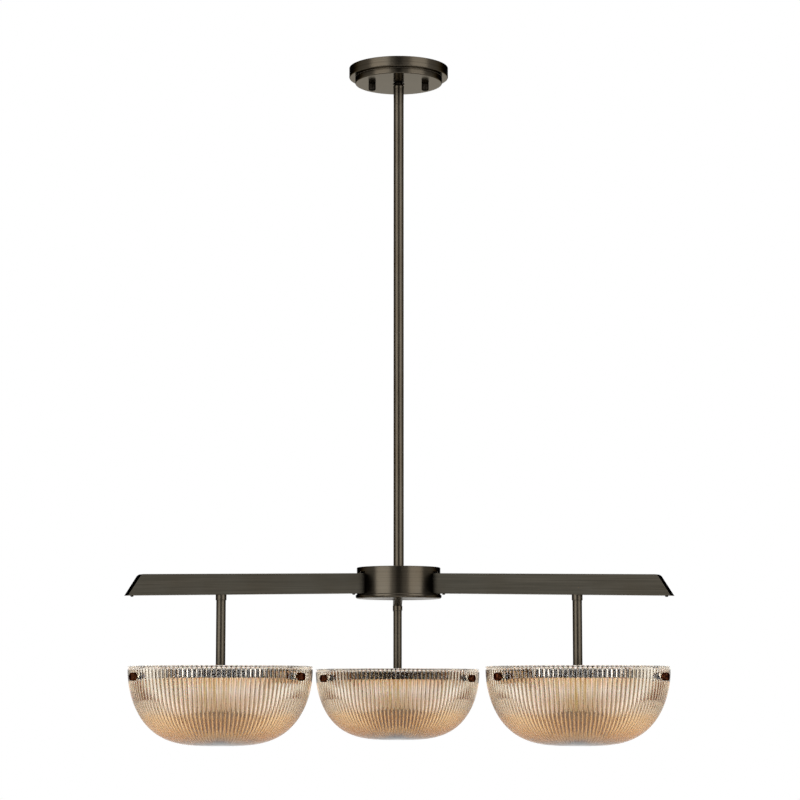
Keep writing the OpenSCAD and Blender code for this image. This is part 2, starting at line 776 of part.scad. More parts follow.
thumbscrew(back, screw_dirs[2]);  // thumbscrew_back_3
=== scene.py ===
"""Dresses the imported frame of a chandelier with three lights: brushed dark bronze, ribbed amber
glass bowls, and a pale studio."""
import math

import bpy
import numpy as np
from bpy.props import FloatProperty, FloatVectorProperty, IntProperty, PointerProperty
from bpy.types import NodeSocket, Operator, Panel, PropertyGroup
from mathutils import Euler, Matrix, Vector


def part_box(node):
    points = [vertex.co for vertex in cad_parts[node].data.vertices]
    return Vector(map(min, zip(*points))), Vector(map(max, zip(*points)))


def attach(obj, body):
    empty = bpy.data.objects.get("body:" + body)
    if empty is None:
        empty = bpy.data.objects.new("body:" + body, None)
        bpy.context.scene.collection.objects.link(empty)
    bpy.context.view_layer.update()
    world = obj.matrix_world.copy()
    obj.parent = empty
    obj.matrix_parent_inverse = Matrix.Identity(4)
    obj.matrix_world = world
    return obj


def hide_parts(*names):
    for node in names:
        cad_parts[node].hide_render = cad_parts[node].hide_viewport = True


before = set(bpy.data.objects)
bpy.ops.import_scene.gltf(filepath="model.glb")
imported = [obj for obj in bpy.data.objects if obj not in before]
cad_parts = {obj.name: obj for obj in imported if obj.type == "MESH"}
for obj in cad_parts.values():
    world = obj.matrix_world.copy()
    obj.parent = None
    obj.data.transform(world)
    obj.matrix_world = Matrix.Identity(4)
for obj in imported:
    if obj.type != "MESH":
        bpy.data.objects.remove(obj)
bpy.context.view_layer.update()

bl_info = {
    "name": "Ribbed Glass Chandelier",
    "version": (1, 0, 0),
    "blender": (4, 5, 0),
    "location": "View3D > Sidebar > Chandelier",
    "description": "Finishes, ribbed glass bowls and studio for a chandelier with three lights",
    "category": "Object",
}

MM = 0.001

LIGHTS = ("left", "right", "back")
ARM_AZIMUTHS = {"left": 210, "right": 330, "back": 90}
ARM_DROOP = 1.62  # degrees under the horizontal
SCREW_AZIMUTHS = (330, 90, 210)

# rows of points down the bowl's outer and inner wall
OUTER_ROWS, INNER_ROWS = 57, 40
# columns of points across a rib, from its first valley to just before the next one: close together
# near the valleys, where the surface turns sharply
RIB_COLUMNS = (-1, -0.985, -0.93, -0.8, -0.55, -0.2, 0.2, 0.55, 0.8, 0.93, 0.985)
# rows down the dome at the end of a rib, as shares of its length
RIB_END_ROWS = (1, 0.75, 0.5, 0.3, 0.14, 0.04)
# turns of the surface round an edge of the rim, in degrees
RIM_BENDS = (0, 30, 60, 90)

# where the camera stands, and how far it looks up and turns aside, in degrees
CAMERA_PLACE = (-0.01792, -3.08434, -0.81657)
CAMERA_TILT, CAMERA_TURN = 6.955, -0.366
SENSOR_WIDTH = 36.0  # millimetres

FLOOR_REACH = 14.0
# radius of the ring that the upright cards stand in, and the height of their tops
CARD_RING, CARD_TOP = 4.6, 2.6
AMBER_AZIMUTHS = range(30, 390, 60)
FLAG_AZIMUTH = 270  # behind the camera

# name, place, aim, size and power of each softbox. Its radiance is its power / (pi * area): about
# 4 in the two front ones, which draw the two soft bands on round metal, and 1.5 in the top one
SOFTBOXES = (
    ("softbox_left", (-2.45, -2.5, 0.0), (0, 0, -0.3), (2.8, 2.8), 105),
    ("softbox_right", (2.6, -2.35, 0.0), (0, 0, -0.3), (2.6, 2.8), 88),
    ("softbox_top", (0.3, -0.6, 1.6), (0, 0, -0.6), (2.0, 2.0), 18),
)

# sockets of a Mix node for colours: the factor, the two colours and the result
MIX_FACTOR, MIX_FIRST, MIX_SECOND, MIX_RESULT = 0, 6, 7, 2


def from_hex(text):
    """The linear RGB colour of an sRGB hex value such as "4a463d"."""
    parts = [int(text[i : i + 2], 16) / 255 for i in (0, 2, 4)]
    return tuple(p / 12.92 if p <= 0.04045 else ((p + 0.055) / 1.055) ** 2.4 for p in parts)


class MetalSettings(PropertyGroup):
    """Colours and grain of the plated metal parts."""

    bronze: FloatVectorProperty(
        name="Bronze", description="Face colour of the brushed dark bronze plating",
        subtype="COLOR", size=3, min=0, max=1, default=from_hex("423d35"))
    bronze_low: FloatVectorProperty(
        name="Bronze in the grain", description="Colour in the scratches of the brushed bronze",
        subtype="COLOR", size=3, min=0, max=1, default=from_hex("36322b"))
    dark_bronze: FloatVectorProperty(
        name="Dark bronze", description="Colour of the lamp pans, holders and small screws",
        subtype="COLOR", size=3, min=0, max=1, default=from_hex("2e2a26"))
    oiled_brown: FloatVectorProperty(
        name="Oiled brown bronze", description="Colour of the thumbscrews' rubbed faces",
        subtype="COLOR", size=3, min=0, max=1, default=from_hex("4e2a18"))
    rubbed: FloatVectorProperty(
        name="Rubbed bronze", description="Lighter bronze along worn edges",
        subtype="COLOR", size=3, min=0, max=1, default=from_hex("7d756b"))
    # near black: the patina in the dark bronze's clouds, and also the painted shade on the ends of
    # the arms
    black_patina_and_shade: FloatVectorProperty(
        name="Black patina", description="Colour of the thick patina on folded ends",
        subtype="COLOR", size=3, min=0, max=1, default=from_hex("17140f"))
    # painted shade: this dark specular tint darkens the metal's reflection where it turns away from
    # the eye
    painted_edge_shade: FloatProperty(
        name="Edge tint",
        description="How much the lacquered patina still reflects where it turns away",
        min=0, max=1, default=0.08)
    grain_width: FloatProperty(
        name="Grain width",
        description="Width of one brush line; a real one of 0.1 mm would not show",
        subtype="DISTANCE", unit="LENGTH", min=0.0001, max=0.01, default=0.0009)


class GlassSettings(PropertyGroup):
    """Shape and tint of the ribbed glass bowls."""

    ribs: IntProperty(
        name="Ribs", description="Number of ribs round a bowl", min=12, max=240, default=120)
    rib_depth: FloatProperty(
        name="Rib depth", description="Height of a rib over the valleys beside it",
        subtype="DISTANCE", unit="LENGTH", min=0, max=0.004, default=0.0028)
    wall: FloatProperty(
        name="Wall", description="Thickness of the glass under a valley",
        subtype="DISTANCE", unit="LENGTH", min=0.001, max=0.008, default=0.0024)
    bottom: FloatProperty(
        name="Bottom", description="Thickness of the glass in the middle of the bottom",
        subtype="DISTANCE", unit="LENGTH", min=0.003, max=0.02, default=0.009)
    straight: FloatProperty(
        name="Straight band", description="Height of the upright band under the rim",
        subtype="DISTANCE", unit="LENGTH", min=0, max=0.02, default=0.005)
    fullness_across: FloatProperty(
        name="Fullness across", description="Exponent of the bowl's section towards the wall",
        min=2, max=6, default=3.4)
    fullness_down: FloatProperty(
        name="Fullness down", description="Exponent of the bowl's section towards the bottom",
        min=1.2, max=4, default=1.9)
    rim_band: FloatProperty(
        name="Rim band", description="Height of the plain band over the ends of the ribs",
        subtype="DISTANCE", unit="LENGTH", min=0.001, max=0.004, default=0.0018)
    rib_end: FloatProperty(
        name="Rib end", description="Length of the domed end of a rib",
        subtype="DISTANCE", unit="LENGTH", min=0.001, max=0.004, default=0.0028)
    rim_round: FloatProperty(
        name="Rim rounding", description="Radius of the fire-polished edges of the rim",
        subtype="DISTANCE", unit="LENGTH", min=0, max=0.0015, default=0.0009)
    screw_hole: FloatProperty(
        name="Screw hole", description="Diameter of the holes for the thumbscrews",
        subtype="DISTANCE", unit="LENGTH", min=0.004, max=0.01, default=0.006)
    valley_tone: FloatVectorProperty(
        name="Valley tone", description="What the thin valleys between the ribs let through",
        subtype="COLOR", size=3, min=0, max=1, default=from_hex("ffffff"))
    # partly the tint of the thicker crests, and partly painted light: the gold lines that the ribs
    # refract
    crest_tint_and_light: FloatVectorProperty(
        name="Crest tone", description="What the thick crests of the ribs let through",
        subtype="COLOR", size=3, min=0, max=1, default=from_hex("8e7422"))
    # painted shade: the tones below darken and warm the valleys down the wall for the shade seen
    # through the glass, and at the bottom also give the tint of the thicker glass
    painted_wall_shade: FloatVectorProperty(
        name="Wall tone", description="What the valleys let through half-way down the wall",
        subtype="COLOR", size=3, min=0, max=1, default=from_hex("e2dad6"))
    painted_deep_shade: FloatVectorProperty(
        name="Deep tone", description="What the valleys let through where the wall turns in",
        subtype="COLOR", size=3, min=0, max=1, default=from_hex("e2c9a9"))
    bottom_shade_and_tint: FloatVectorProperty(
        name="Bottom tone", description="What the bottom lets through",
        subtype="COLOR", size=3, min=0, max=1, default=from_hex("d8ae78"))
    # painted highlight: the ends of the ribs under the rim are made less clear and white, so that
    # they shine white
    painted_white_ends: FloatProperty(
        name="Satin ends",
        description="Clearness of the domed ends of the ribs, which the mould left satin",
        min=0, max=1, default=0.5)
    tint: FloatVectorProperty(
        name="Tint", description="Colour that the glass takes from the light on its way through",
        subtype="COLOR", size=3, min=0, max=1, default=from_hex("fddd89"))
    depth_of_tint: FloatProperty(
        name="Depth of tint", description="Absorption for each metre of glass",
        min=0, max=200, default=25)


class LampSettings(PropertyGroup):
    """Colours of the opal dishes, the light boards over them and the ground screw."""

    opal: FloatVectorProperty(
        name="Opal", description="Colour of the satin opal dish",
        subtype="COLOR", size=3, min=0, max=1, default=from_hex("f2ece4"))
    soft_light: FloatVectorProperty(
        name="Soft light", description="Colour of the dimmed lamp's light over the whole dish",
        subtype="COLOR", size=3, min=0, max=1, default=from_hex("eceeff"))
    soft_glow: FloatProperty(
        name="Soft glow", description="Strength of the dimmed lamp's light over the whole dish",
        min=0, max=5, default=0.86)
    # painted light: a warm glow at the lip of the dish
    painted_lip_light: FloatVectorProperty(
        name="Warm light", description="Colour of the dimmed lamp's light at the lip of its dish",
        subtype="COLOR", size=3, min=0, max=1, default=from_hex("ffd08a"))
    painted_lip_glow: FloatProperty(
        name="Warm glow", description="Strength of the dimmed lamp's light at the lip of its dish",
        min=0, max=5, default=0.7)
    board_white: FloatVectorProperty(
        name="Board white", description="Colour of the board's solder mask",
        subtype="COLOR", size=3, min=0, max=1, default=from_hex("e9e9e4"))
    ground_green: FloatVectorProperty(
        name="Ground screw green", description="Colour of the dyed zinc on the ground screw",
        subtype="COLOR", size=3, min=0, max=1, default=from_hex("2f7a43"))


class StudioSettings(PropertyGroup):
    """Camera, room light, floor and the cards round the room."""

    lens: FloatProperty(
        name="Lens", description="Focal length on a 36 mm sensor",
        subtype="DISTANCE_CAMERA", min=20, max=300, default=107.782)
    floor_height: FloatProperty(
        name="Floor height", description="Height of the floor under the ceiling",
        subtype="DISTANCE", unit="LENGTH", min=-4, max=-1, default=-2.4)
    floor_colour: FloatVectorProperty(
        name="Floor", description="Colour of the pale floor",
        subtype="COLOR", size=3, min=0, max=1, default=from_hex("f4f3f1"))
    floor_lift: FloatProperty(
        name="Floor lift", description="White added to the floor where it is seen",
        min=0, max=1, default=0.55)
    room_light: FloatProperty(
        name="Room light", description="Strength of the even light from the room",
        min=0, max=2, default=0.4)
    card_colour: FloatVectorProperty(
        name="Card colour", description="Colour of the upright cards that the glass shows as lines",
        subtype="COLOR", size=3, min=0, max=1, default=from_hex("7c4a18"))
    card_width: FloatProperty(
        name="Card width", description="Width of each amber card round the room, in degrees",
        min=0, max=59, default=34)
    flag_width: FloatProperty(
        name="Flag width", description="Width of the black flag behind the camera, in degrees",
        min=1, max=60, default=17)


def rgba(colour):
    """A colour with an alpha of 1."""
    return (*colour[:3], 1.0)


def add_node(tree, kind, inputs=None, output=None, **settings):
    """Adds one node with its settings, and sets its inputs or links them to other nodes' outputs.
    Gives the output asked for, or the node itself if none is."""
    made = tree.nodes.new(kind)
    for name, value in settings.items():
        setattr(made, name, value)
    for name, value in (inputs or {}).items():
        socket = made.inputs[name]
        if isinstance(value, NodeSocket):
            tree.links.new(value, socket)
        else:
            socket.default_value = rgba(value) if socket.type == "RGBA" else value
    return made if output is None else made.outputs[output]


def new_finish(name):
    """The material of that name, made at its first use, and its node tree, empty."""
    material = bpy.data.materials.get(name) or bpy.data.materials.new(name)
    material.use_nodes = True
    material.node_tree.nodes.clear()
    return material, material.node_tree


def finished(material, sockets, volume=None):
    """The material, with a shader that has these sockets, and a volume if there is one."""
    tree = material.node_tree
    ends = {"Surface": add_node(tree, "ShaderNodeBsdfPrincipled", sockets, "BSDF")}
    if volume:
        ends["Volume"] = volume
    add_node(tree, "ShaderNodeOutputMaterial", ends)
    return material


def two_tone(tree, factor, low, high, start=0.35, end=0.65):
    """A colour that runs from low to high as the factor goes from start to end."""
    ramp = add_node(tree, "ShaderNodeValToRGB", {"Fac": factor})
    first, last = ramp.color_ramp.elements
    first.position, last.position = start, end
    first.color, last.color = rgba(low), rgba(high)
    return ramp.outputs["Color"]


def spread(tree, noise, low, high):
    """A number that runs from low to high over the range that a noise mostly keeps to."""
    return add_node(
        tree, "ShaderNodeMapRange",
        {"Value": noise, "From Min": 0.3, "From Max": 0.7, "To Min": low, "To Max": high}, "Result")


def lengthwise_grain(tree, width, length, turn=0.0, droop=0.0):
    """Brush lines along a bar that points to an azimuth and droops; with neither, along Z."""
    along = add_node(tree, "ShaderNodeTexCoord", None, "Object")
    scale = (1 / width, 1 / width, 1 / length)
    if turn or droop:
        along = add_node(
            tree, "ShaderNodeMapping", {"Vector": along, "Rotation": (0, droop, turn)}, "Vector",
            vector_type="TEXTURE")
        scale = (1 / length, 1 / width, 1 / width)
    stretched = add_node(tree, "ShaderNodeMapping", {"Vector": along, "Scale": scale}, "Vector")
    return add_node(
        tree, "ShaderNodeTexNoise",
        {"Vector": stretched, "Scale": 1.0, "Detail": 3.0, "Roughness": 0.6}, "Fac")


def turned_grain(tree, width):
    """Lathe lines in circles round the Z axis."""
    place = add_node(tree, "ShaderNodeTexCoord", None, "Object")
    parts = add_node(tree, "ShaderNodeSeparateXYZ", {"Vector": place})
    flat = add_node(
        tree, "ShaderNodeCombineXYZ", {"X": parts.outputs["X"], "Y": parts.outputs["Y"]}, "Vector")
    radius = add_node(tree, "ShaderNodeVectorMath", {0: flat}, "Value", operation="LENGTH")
    rings = add_node(
        tree, "ShaderNodeCombineXYZ", {"X": radius, "Z": parts.outputs["Z"]}, "Vector")
    return add_node(
        tree, "ShaderNodeTexNoise",
        {"Vector": rings, "Scale": 1 / width, "Detail": 3.0, "Roughness": 0.6}, "Fac")


def patina(tree, size):
    """Soft clouds of a real size, for plating, for waves in glass and for the pile of a cloth."""
    place = add_node(tree, "ShaderNodeTexCoord", None, "Object")
    return add_node(
        tree, "ShaderNodeTexNoise",
        {"Vector": place, "Scale": 1 / size, "Detail": 4.0, "Roughness": 0.55}, "Fac")


def facing(tree, direction, start, end):
    """1 where the surface faces a direction of the object, 0 where it turns away from it."""
    normal = add_node(tree, "ShaderNodeTexCoord", None, "Normal")
    along = add_node(
        tree, "ShaderNodeVectorMath", {0: normal, 1: direction}, "Value", operation="DOT_PRODUCT")
    return add_node(
        tree, "ShaderNodeMapRange", {"Value": along, "From Min": start, "From Max": end}, "Result")


def worn_edges(tree, width, patches):
    """The surface's direction with its edges rounded off, and 1 along those edges, in broken
    patches as hands and cloths wear them."""
    rounded = add_node(tree, "ShaderNodeBevel", {"Radius": width}, "Normal", samples=4)
    flat = add_node(tree, "ShaderNodeNewGeometry", None, "Normal")
    alike = add_node(
        tree, "ShaderNodeVectorMath", {0: rounded, 1: flat}, "Value", operation="DOT_PRODUCT")
    edge = add_node(
        tree, "ShaderNodeMapRange", {"Value": alike, "From Min": 0.99, "From Max": 0.8}, "Result")
    wear = add_node(
        tree, "ShaderNodeMath", {0: edge, 1: spread(tree, patches, 0.3, 1.0)}, 0,
        operation="MULTIPLY")
    return rounded, wear


def brushed_bronze(
        name, metals, grain_of, turned=False, underside=None, painted_shade_end=None, tone=None):
    """Steel plated, patinated to dark bronze, brushed and lacquered: a soft sheen drawn out across
    the fine brush lines, lighter along worn edges, and with painted shade where it turns away from
    the eye.

    underside is the tint of a painted brighter reflection on the faces below and their roughness,
    the end's direction points to an end painted near black as shade, and tone is a colour over all
    of it."""
    material, tree = new_finish(name)
    grain = grain_of(tree)
    clouds = patina(tree, 60 * MM)
    colour = add_node(tree, "ShaderNodeMix", {
        MIX_FACTOR: spread(tree, clouds, 0.0, 0.35),
        MIX_FIRST: two_tone(tree, grain, metals.bronze_low, metals.bronze),
        MIX_SECOND: from_hex("d8c4a8")}, MIX_RESULT, data_type="RGBA", blend_type="MULTIPLY")
    if tone:
        colour = add_node(tree, "ShaderNodeMix", {
            MIX_FACTOR: 1.0, MIX_FIRST: colour, MIX_SECOND: from_hex(tone)}, MIX_RESULT,
            data_type="RGBA", blend_type="MULTIPLY")
    # painted shade: the end that faces along the arm is painted near black
    if painted_shade_end:
        colour = add_node(tree, "ShaderNodeMix", {
            MIX_FACTOR: facing(tree, painted_shade_end, 0.3, 0.6), MIX_FIRST: colour,
            MIX_SECOND: metals.black_patina_and_shade}, MIX_RESULT, data_type="RGBA")
    rounded, wear = worn_edges(tree, 0.6 * MM, clouds)
    # painted shade: the metal's reflection goes dark where it turns away from the eye
    painted_edge_shade = [metals.painted_edge_shade] * 3
    if underside:
        # painted reflection: the flat faces below reflect brighter and warmer than the walls, and
        # they are smoother
        tint, roughness = underside
        down = facing(tree, (0, 0, -1), 0.8, 0.97)
        painted_edge_shade = add_node(tree, "ShaderNodeMix", {
            MIX_FACTOR: down, MIX_FIRST: painted_edge_shade,
            MIX_SECOND: [tint, 0.95 * tint, 0.86 * tint]}, MIX_RESULT, data_type="RGBA")
        gloss = add_node(
            tree, "ShaderNodeMapRange", {"Value": down, "To Min": 0.3, "To Max": roughness},
            "Result")
    else:
        gloss = spread(tree, grain, 0.27, 0.36)
    sockets = {
        "Base Color": add_node(tree, "ShaderNodeMix", {
            MIX_FACTOR: wear, MIX_FIRST: colour, MIX_SECOND: metals.rubbed}, MIX_RESULT,
            data_type="RGBA"),
        "Metallic": 1.0, "Roughness": gloss, "Specular Tint": painted_edge_shade,
        "Normal": add_node(tree, "ShaderNodeBump", {
            "Height": grain, "Strength": 0.05, "Distance": 0.2 * MM, "Normal": rounded}, "Normal")}
    if turned:
        # a quarter turn draws the sheen out along the piece's axis, across its lathe lines, and
        # keeps the bands of light sharp round it
        sockets.update({
            "Anisotropic": 0.6, "Anisotropic Rotation": 0.25,
            "Tangent": add_node(
                tree, "ShaderNodeTangent", None, "Tangent", direction_type="RADIAL", axis="Z")})
    return finished(material, sockets)


def turned_bronze(name, metals, underside=None):
    """Brushed bronze on a piece that was spun or turned: lathe lines in place of brush lines."""
    return brushed_bronze(
        name, metals, lambda tree: turned_grain(tree, metals.grain_width), turned=True,
        underside=underside)


def drawn_bronze(metals):
    """Brushed bronze on a drawn tube: fine lines along it, which soften the two bands of light."""
    return brushed_bronze(
        "Drawn_brushed_bronze", metals,
        lambda tree: lengthwise_grain(tree, metals.grain_width, 80 * MM))


def dark_bronze(metals):
    """Spun and pressed steel under a thin dark bronze plating: nearly black, with a dull sheen."""
    material, tree = new_finish("Dark_bronze_plated_steel")
    clouds = patina(tree, 8 * MM)
    return finished(material, {
        "Base Color": two_tone(tree, clouds, metals.black_patina_and_shade, metals.dark_bronze),
        "Metallic": 1.0, "Roughness": spread(tree, clouds, 0.38, 0.5),
        "Specular Tint": [metals.painted_edge_shade] * 3,
        "Normal": add_node(tree, "ShaderNodeBump", {
            "Height": clouds, "Strength": 0.08, "Distance": 0.3 * MM}, "Normal")})


def oiled_brown_bronze(metals):
    """Turned brass, oil-rubbed to a red-brown that wears through on the face and stays black in
    the hollows."""
    material, tree = new_finish("Oil_rubbed_brown_bronze")
    clouds = patina(tree, 3 * MM)
    return finished(material, {
        "Base Color": two_tone(tree, clouds, from_hex("1d100a"), metals.oiled_brown),
        "Metallic": 1.0, "Roughness": spread(tree, clouds, 0.42, 0.3),
        "Specular Tint": [metals.painted_edge_shade] * 3,
        "Normal": add_node(tree, "ShaderNodeBump", {
            "Height": clouds, "Strength": 0.15, "Distance": 0.2 * MM}, "Normal")})


def zinc_plated_steel():
    """Stamped and turned steel with clear zinc: light grey with faint blue and yellow clouds."""
    material, tree = new_finish("Zinc_plated_steel")
    clouds = patina(tree, 5 * MM)
    return finished(material, {
        "Base Color": two_tone(tree, clouds, from_hex("8f9296"), from_hex("aaa79e")),
        "Metallic": 1.0, "Roughness": spread(tree, clouds, 0.28, 0.42)})


def milled_aluminium():
    """Die-cast aluminium, milled on its faces: pale grey lines in rings."""
    material, tree = new_finish("Milled_aluminium")
    grain = turned_grain(tree, 0.6 * MM)
    return finished(material, {
        "Base Color": two_tone(tree, grain, from_hex("8a8781"), from_hex("a09d96")),
        "Metallic": 1.0, "Roughness": spread(tree, grain, 0.3, 0.45)})


def dyed_zinc(lamps):
    """Zinc plating dyed green, as every ground screw has: a thin bright colour over metal."""
    material, tree = new_finish("Green_dyed_zinc")
    clouds = patina(tree, 2 * MM)
    return finished(material, {
        "Base Color": two_tone(tree, clouds, from_hex("245e34"), lamps.ground_green),
        "Metallic": 0.7, "Roughness": spread(tree, clouds, 0.3, 0.4)})


def solder_mask(lamps):
    """White solder mask on a glass-fibre board: satin, with the weave just showing."""
    material, tree = new_finish("White_solder_mask")
    place = add_node(tree, "ShaderNodeTexCoord", None, "Object")
    weave = add_node(
        tree, "ShaderNodeTexChecker", {"Vector": place, "Scale": 1 / (1.2 * MM)}, "Fac")
    return finished(material, {
        "Base Color": two_tone(tree, weave, from_hex("dfdfd8"), lamps.board_white, 0.0, 1.0),
        "Roughness": 0.45})


def satin_opal(lamps):
    """Moulded opal acrylic with a satin skin: light soaks in and leaves it evenly cream, and the
    lamp behind it, dimmed right down, glows softly all over, with painted warm light near the lip."""
    material, tree = new_finish("Satin_opal_acrylic")
    clouds = patina(tree, 20 * MM)
    skin = patina(tree, 0.6 * MM)
    place = add_node(tree, "ShaderNodeTexCoord", None, "Object")
    height = add_node(tree, "ShaderNodeSeparateXYZ", {"Vector": place}, "Z")
    # the lip is the upper two fifths of the dish
    low, high = (corner[2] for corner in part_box("diffuser_back"))
    near_lip = add_node(tree, "ShaderNodeMapRange", {
        "Value": height, "From Min": low + 0.6 * (high - low), "From Max": high}, "Result")
    return finished(material, {
        "Base Color": two_tone(tree, clouds, from_hex("ede6dc"), lamps.opal),
        "Roughness": 0.5, "IOR": 1.49, "Subsurface Weight": 0.3, "Subsurface Scale": 4 * MM,
        "Normal": add_node(tree, "ShaderNodeBump", {
            "Height": skin, "Strength": 0.05, "Distance": 0.1 * MM}, "Normal"),
        # painted light: the glow turns warm near the lip
        "Emission Color": two_tone(tree, near_lip, lamps.soft_light, lamps.painted_lip_light, 0.0, 1.0),
        "Emission Strength": add_node(tree, "ShaderNodeMapRange", {
            "Value": near_lip, "To Min": lamps.soft_glow, "To Max": lamps.painted_lip_glow}, "Result")})


def rib_crests(tree, place, ribs):
    """1 on the thick crests of the bowl's half-round ribs, 0 in the thin valleys between them, in
    streaks along the wall, and weaker towards the bottom: the mask of the painted lines of light in
    the ribs."""
    turn = add_node(
        tree, "ShaderNodeMath", {0: place.outputs["Y"], 1: place.outputs["X"]}, 0,
        operation="ARCTAN2")
    phase = add_node(tree, "ShaderNodeMath", {0: turn, 1: float(ribs)}, 0, operation="MULTIPLY")
    wave = add_node(tree, "ShaderNodeMath", {0: phase}, 0, operation="COSINE")
    crests = add_node(
        tree, "ShaderNodeMapRange", {"Value": wave, "From Min": -1.0, "From Max": 1.0}, "Result")
    # unrolled, a rib is 2 pi wide and a metre of wall 40 long, which makes a streak about a third
    # of a rib wide and 55 mm long
    wall_scale, streak_scale = 40.0, 0.45
    length = add_node(
        tree, "ShaderNodeMath", {0: place.outputs["Z"], 1: wall_scale}, 0, operation="MULTIPLY")
    unrolled = add_node(tree, "ShaderNodeCombineXYZ", {"X": phase, "Y": length}, "Vector")
    streaks = add_node(
        tree, "ShaderNodeTexNoise", {"Vector": unrolled, "Scale": streak_scale, "Detail": 2.0},
        "Fac")
    streaky = add_node(
        tree, "ShaderNodeMath", {0: crests, 1: spread(tree, streaks, 0.7, 1.0)}, 0,
        operation="MULTIPLY")
    strength = add_node(tree, "ShaderNodeMapRange", {
        "Value": place.outputs["Z"], "From Min": -55 * MM, "From Max": -65 * MM,
        "To Min": 1.0, "To Max": 0.6}, "Result")
    return add_node(tree, "ShaderNodeMath", {0: streaky, 1: strength}, 0, operation="MULTIPLY")


def painted_depth_tones(tree, place, stops):
    """A colour for each depth under the rim, from pairs of a depth and a colour."""
    deepest = stops[-1][0]
    depth = add_node(tree, "ShaderNodeMapRange", {
        "Value": place.outputs["Z"], "From Max": -deepest}, "Result")
    ramp = add_node(tree, "ShaderNodeValToRGB", {"Fac": depth})
    tones = ramp.color_ramp.elements
    tones[0].color, tones[1].color = rgba(stops[0][1]), rgba(stops[-1][1])
    for at, colour in stops[1:-1]:
        tones.new(at / deepest).color = rgba(colour)
    return ramp.outputs["Color"]


def amber_glass(glass):
    """Pressed soda glass, tinted light amber in the melt and fire-polished. Into its colour are
    painted gold lines of refracted light along the thick crests of the ribs, nearly clear valleys
    between them, painted shade and honey light down the wall to the thick bottom, where the thicker
    glass adds its own tint, and a painted white highlight on the ends of the ribs under the rim."""
    material, tree = new_finish("Pressed_light_amber_glass")
    waves = patina(tree, 12 * MM)
    place = add_node(tree, "ShaderNodeSeparateXYZ", {
        "Vector": add_node(tree, "ShaderNodeTexCoord", None, "Object")})
    # painted shade: the valleys' colour darkens and warms with depth, for the shade seen through
    # the wall, and at the bottom also for the tint of the thicker glass
    valleys = painted_depth_tones(tree, place, (
        (0 * MM, glass.valley_tone), (30 * MM, glass.valley_tone),
        (42 * MM, glass.painted_wall_shade), (55 * MM, glass.painted_wall_shade),
        (64 * MM, glass.painted_deep_shade), (76 * MM, glass.painted_deep_shade),
        (90 * MM, glass.bottom_shade_and_tint)))
    crests = rib_crests(tree, place, glass.ribs)
    # painted highlight: the domed ends of the ribs under the rim turn white and less clear
    at_rim = add_node(tree, "ShaderNodeMapRange", {
        "Value": place.outputs["Z"], "From Min": -5.6 * MM, "From Max": -3.8 * MM}, "Result")
    satin = add_node(tree, "ShaderNodeMath", {0: crests, 1: at_rim}, 0, operation="MULTIPLY")
    # painted light: the crests take a gold tone, partly the tint of the thicker glass there and
    # partly the lines of light that the ribs refract
    lined = add_node(tree, "ShaderNodeMix", {
        MIX_FACTOR: crests, MIX_FIRST: valleys, MIX_SECOND: glass.crest_tint_and_light}, MIX_RESULT,
        data_type="RGBA")
    return finished(
        material,
        {
            "Base Color": add_node(tree, "ShaderNodeMix", {
                MIX_FACTOR: satin, MIX_FIRST: lined, MIX_SECOND: glass.valley_tone}, MIX_RESULT,
                data_type="RGBA"),
            "Transmission Weight": add_node(tree, "ShaderNodeMapRange", {
                "Value": satin, "To Min": 1.0, "To Max": glass.painted_white_ends}, "Result"),
            "IOR": 1.5, "Roughness": spread(tree, waves, 0.0, 0.008),
            "Normal": add_node(tree, "ShaderNodeBump", {
                "Height": waves, "Strength": 0.1, "Distance": 0.4 * MM}, "Normal")},
        add_node(tree, "ShaderNodeVolumeAbsorption", {
            "Color": glass.tint, "Density": glass.depth_of_tint}, "Volume"))


def shown_directly(tree):
    """1 for rays from the camera and for those that metal and glass pass on, 0 for the light on
    the object."""
    path = add_node(tree, "ShaderNodeLightPath")
    shown = path.outputs["Is Camera Ray"]
    for other in ("Is Glossy Ray", "Is Transmission Ray"):
        shown = add_node(
            tree, "ShaderNodeMath", {0: shown, 1: path.outputs[other]}, 0, operation="MAXIMUM")
    return shown


def pale_floor_paint(studio):
    """Smooth matt floor paint: an even pale grey with the faintest roller texture, lifted towards
    white where it is seen, so that it meets the background softly and still takes the shadow."""
    material, tree = new_finish("Matt_floor_paint")
    clouds = patina(tree, 400 * MM)
    return finished(material, {
        "Base Color": two_tone(tree, clouds, from_hex("efeeec"), studio.floor_colour),
        "Roughness": 0.9, "Specular IOR Level": 0.1, "Emission Color": from_hex("ffffff"),
        "Emission Strength": add_node(tree, "ShaderNodeMapRange", {
            "Value": shown_directly(tree), "To Max": studio.floor_lift}, "Result")})


def amber_card(studio):
    """Glowing amber-brown card with faint clouds, as put round glass to draw dark gold lines into
    it."""
    material, tree = new_finish("Amber_card")
    clouds = patina(tree, 300 * MM)
    return finished(material, {
        "Base Color": two_tone(tree, clouds, from_hex("1c120a"), from_hex("2a1a0e")),
        "Roughness": 1.0, "Specular IOR Level": 0.0,
        "Emission Color": studio.card_colour, "Emission Strength": 1.0})


def black_velvet():
    """Matt black flock with a faint pile, as on the flag that draws a dark line down round
    metal."""
    material, tree = new_finish("Black_velvet")
    pile = patina(tree, 10 * MM)
    return finished(material, {
        "Base Color": two_tone(tree, pile, from_hex("0a0a0a"), from_hex("141414")),
        "Roughness": 1.0, "Specular IOR Level": 0.0})


def dress(names, material):
    """Gives CAD nodes a finish in every material slot they have."""
    for name in names:
        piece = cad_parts[name]
        if not piece.material_slots:
            piece.data.materials.append(material)
        for slot in piece.material_slots:
            slot.material = material


def link_object(name, data):
    """A new object with this mesh, lamp or camera, in the scene."""
    made = bpy.data.objects.new(name, data)
    bpy.context.collection.objects.link(made)
    return made


